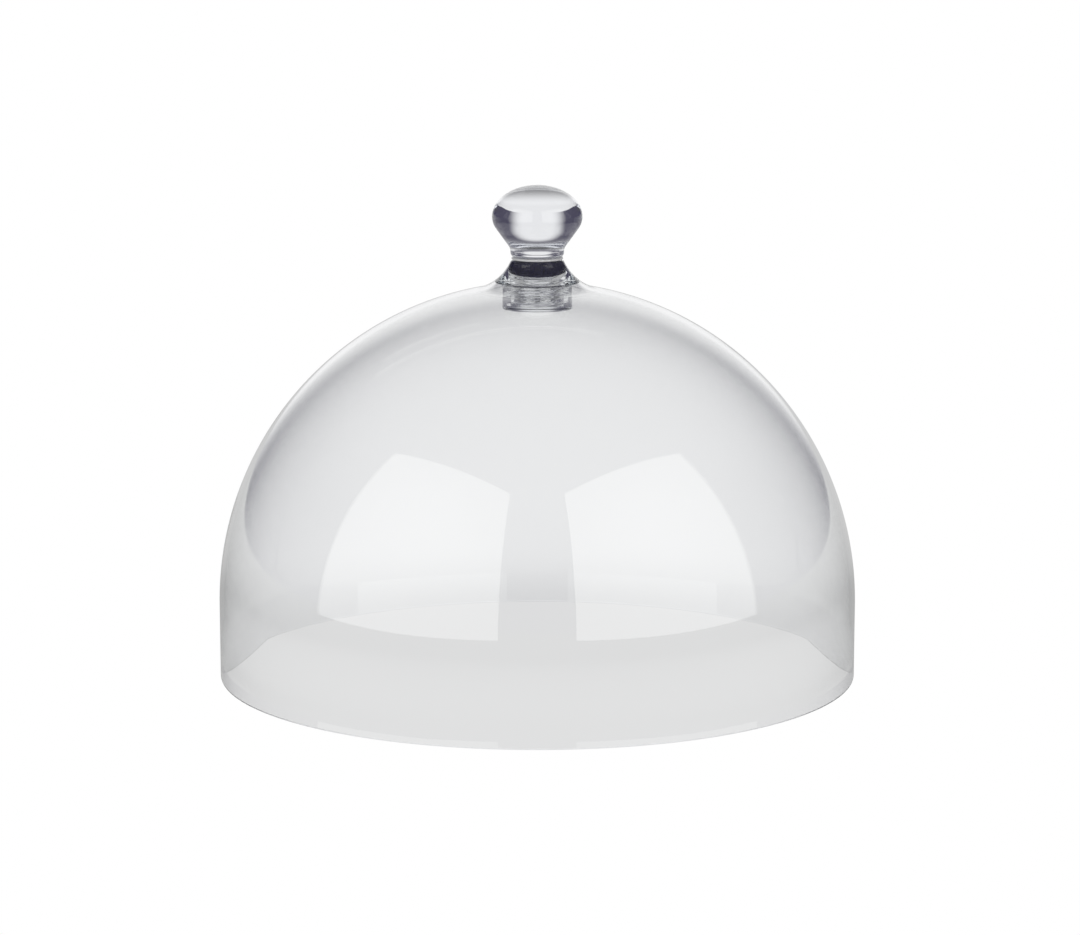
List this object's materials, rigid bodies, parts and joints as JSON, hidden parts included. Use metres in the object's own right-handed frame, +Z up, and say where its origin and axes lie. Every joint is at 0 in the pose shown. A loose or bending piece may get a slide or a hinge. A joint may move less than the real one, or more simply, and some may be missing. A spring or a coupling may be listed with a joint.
{
  "type": "cake stand dome",
  "caption": "Clear moulded bell cover with a straight skirt and a screw-in ball knob, for covering a cake on a stand or plate.",
  "frame": {"origin": "centre of the plane that the rim stands on", "axes": "+Z up along the bell's axis, through the knob; the bell is round, so X and Y are free"},
  "size_m": [0.3048, 0.3048, 0.234],
  "materials": {
    "clear_plastic": "clear moulded plastic, polished, faint cool grey tint",
    "washer_silicone": "translucent soft silicone, satin",
    "knob_plastic": "clear solid moulded plastic, polished",
    "sleeve_rubber": "dark violet soft rubber, satin"
  },
  "bodies": {
    "dome": {"dome_shell": "clear_plastic"},
    "washer": {"seat_washer": "washer_silicone"},
    "knob": {"knob": "knob_plastic", "shank_sleeve": "sleeve_rubber"}
  },
  "joints": [
    {"name": "knob_rise", "type": "slide", "parent": "dome", "child": "washer", "axis": [0, 0, 1], "range_m": [0, 0.0114]},
    {"name": "knob_turn", "type": "hinge", "parent": "washer", "child": "knob", "pos_m": [0, 0, 0.2003], "axis": [0, 0, 1], "range_deg": [0, 900]}
  ],
  "couplings": [
    {"joint": "knob_rise", "follows": "knob_turn", "m_per_rad": 0.0007162}
  ]
}
